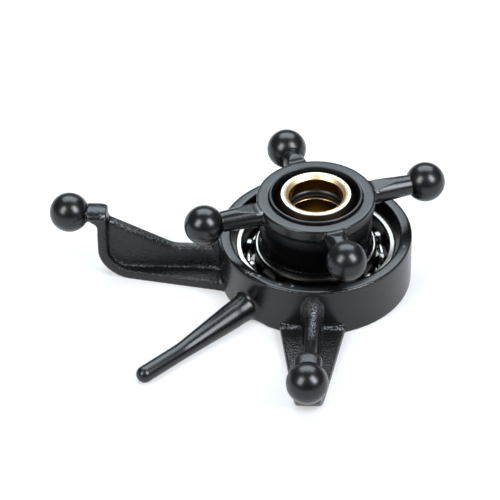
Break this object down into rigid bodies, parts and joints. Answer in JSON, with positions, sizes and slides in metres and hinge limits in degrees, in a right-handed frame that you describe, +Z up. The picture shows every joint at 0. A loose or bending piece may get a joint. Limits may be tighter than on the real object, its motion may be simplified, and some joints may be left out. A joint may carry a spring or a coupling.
{
  "type": "helicopter swashplate",
  "caption": "Swashplate of a micro helicopter: a fixed ring with cranked servo arms and a guide pin, a ball bearing, and a star-shaped hub on a tilting pivot ball.",
  "frame": {"origin": "middle of the pivot ball on the main shaft's axis", "axes": "+Z up the main shaft's axis; the servo arms point along -X and -Y"},
  "size_m": [0.0296, 0.0282, 0.0083],
  "materials": {
    "black_nylon": "satin moulded",
    "black_acetal": "satin turned",
    "race_steel": "ground",
    "ball_steel": "polished",
    "cage_steel": "pressed strip",
    "plated_steel": "bright nickel plate",
    "brass": "turned",
    "nitrile_rubber": "moulded"
  },
  "bodies": {
    "fixed_ring": {"lower_ring": "black_nylon", "bearing_outer_race": "race_steel"},
    "turning_hub": {"rotating_hub": "black_nylon", "bearing_inner_race": "race_steel", "ball_retaining_ring": "black_acetal", "inner_race_collar": "black_acetal"},
    "bearing_cage": {"bearing_cage_upper": "cage_steel", "bearing_cage_lower": "cage_steel", "bearing_ball_01": "ball_steel", "bearing_ball_02": "ball_steel", "bearing_ball_03": "ball_steel", "bearing_ball_04": "ball_steel", "bearing_ball_05": "ball_steel", "bearing_ball_06": "ball_steel", "bearing_ball_07": "ball_steel", "bearing_ball_08": "ball_steel", "bearing_ball_09": "ball_steel", "bearing_ball_10": "ball_steel", "bearing_ball_11": "ball_steel", "bearing_ball_12": "ball_steel"},
    "pivot": {"pivot_ball": "plated_steel", "upper_shaft_bush": "brass", "lower_shaft_bush": "brass", "shaft_seal_ring": "nitrile_rubber"}
  },
  "joints": [
    {"name": "hub_spin", "type": "hinge", "parent": "fixed_ring", "child": "turning_hub", "pos_m": [0, 0, 0], "axis": [0, 0, 1], "continuous": true},
    {"name": "cage_spin", "type": "hinge", "parent": "fixed_ring", "child": "bearing_cage", "pos_m": [0, 0, 0], "axis": [0, 0, 1], "continuous": true},
    {"name": "ball_tilt", "type": "hinge", "parent": "turning_hub", "child": "pivot", "pos_m": [0, 0, 0], "axis": [0.9397, 0.342, 0], "range_deg": [-12, 12]}
  ],
  "couplings": [
    {"joint": "cage_spin", "follows": "hub_spin", "ratio": 0.4411}
  ]
}
